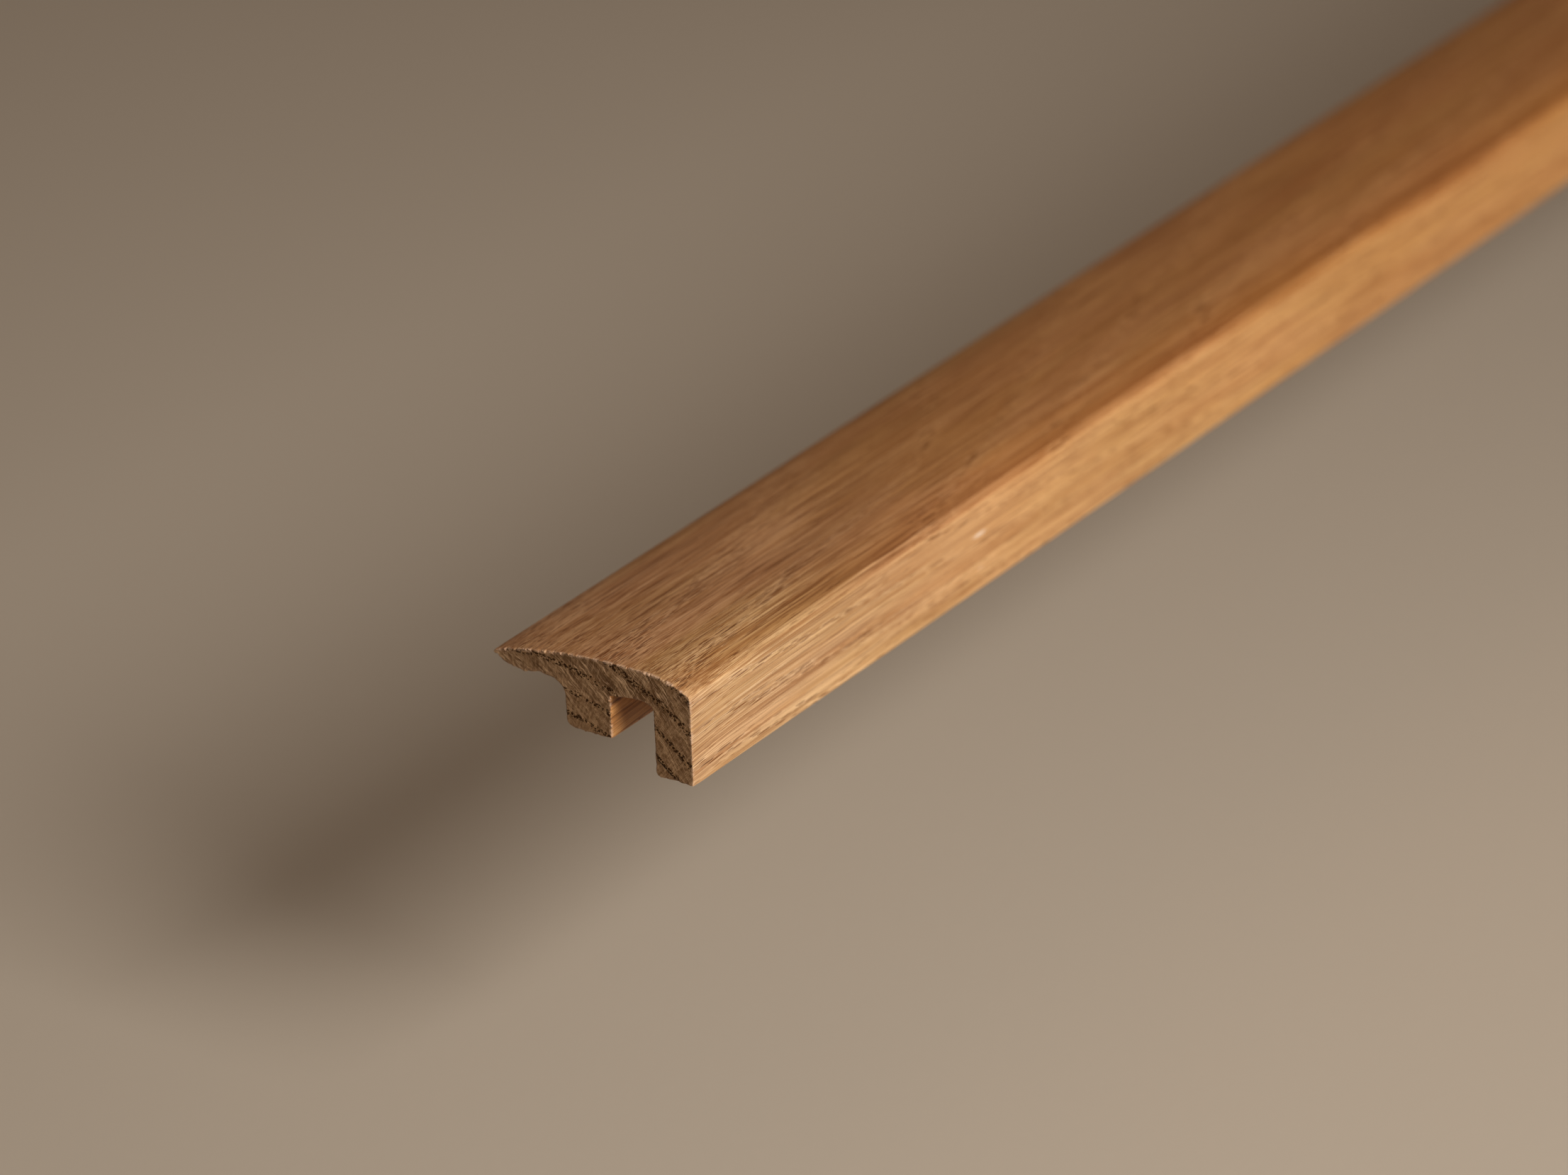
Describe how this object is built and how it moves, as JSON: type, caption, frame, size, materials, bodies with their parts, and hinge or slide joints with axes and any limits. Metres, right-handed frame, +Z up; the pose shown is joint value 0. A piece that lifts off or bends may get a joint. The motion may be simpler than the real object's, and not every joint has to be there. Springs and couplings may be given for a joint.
{
  "type": "threshold strip",
  "caption": "Solid oak end-profile threshold strip with a thin overlapping lip, a deep outer leg and an underside groove that presses onto a screwed-down metal rail.",
  "frame": {"origin": "on the subfloor plane, under the centre line of the underside groove, at mid-length: the centre of the rail's flat base strip", "axes": "+X out of the tall outer face, -X towards the thin lip, +Y along the strip, +Z up off the subfloor"},
  "size_m": [0.048, 0.9, 0.0428],
  "materials": {
    "oak": "planed oak under a satin clear lacquer on the machined faces; cross-cut end faces bare and saw-rough",
    "rail_aluminium": "mill-finish extrusion with fine die lines",
    "screw_steel": "bright zinc plated",
    "plug_nylon": "moulded grey nylon"
  },
  "bodies": {
    "floor_fixings": {"fixing_rail": "rail_aluminium", "rail_screw_1": "screw_steel", "rail_screw_2": "screw_steel", "rail_screw_3": "screw_steel", "rail_screw_4": "screw_steel", "rail_screw_5": "screw_steel", "rail_screw_6": "screw_steel", "wall_plug_1": "plug_nylon", "wall_plug_2": "plug_nylon", "wall_plug_3": "plug_nylon", "wall_plug_4": "plug_nylon", "wall_plug_5": "plug_nylon", "wall_plug_6": "plug_nylon"},
    "moulding": {"oak_moulding": "oak"}
  },
  "joints": [
    {"name": "moulding_lift", "type": "slide", "parent": "floor_fixings", "child": "moulding", "axis": [0, 0, 1], "range_m": [0, 0.03]}
  ]
}
